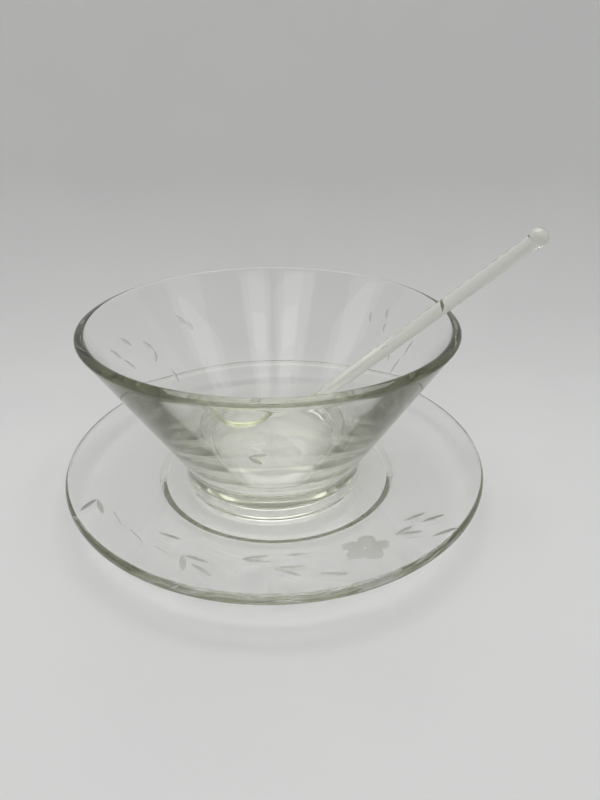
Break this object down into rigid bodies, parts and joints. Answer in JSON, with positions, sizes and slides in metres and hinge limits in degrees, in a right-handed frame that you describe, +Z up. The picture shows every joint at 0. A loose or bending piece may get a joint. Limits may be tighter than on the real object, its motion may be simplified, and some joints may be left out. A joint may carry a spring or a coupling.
{
  "type": "serving bowl",
  "caption": "Clear glass flared bowl on a short foot, standing on a round glass underplate, with a glass ladle leaning on its lip.",
  "frame": {"origin": "centre of the underplate's rest face, on the surface it stands on", "axes": "+Z up along the underplate's axis, +X towards the ladle's bead, -Y towards the viewer"},
  "size_m": [0.1934, 0.18, 0.1103],
  "materials": {
    "clear_glass": "pressed and fire-polished clear glass with frosted wheel cuts",
    "ladle_glass": "lamp-worked clear glass, faintly yellow-green"
  },
  "bodies": {
    "underplate": {"underplate": "clear_glass"},
    "bowl": {"bowl": "clear_glass"},
    "ladle": {"ladle": "ladle_glass"}
  },
  "joints": [
    {"name": "bowl_lift", "type": "slide", "parent": "underplate", "child": "bowl", "axis": [0, 0, 1], "range_m": [0, 0.06]},
    {"name": "ladle_lift", "type": "slide", "parent": "bowl", "child": "ladle", "axis": [0, 0, 1], "range_m": [0, 0.1]}
  ]
}
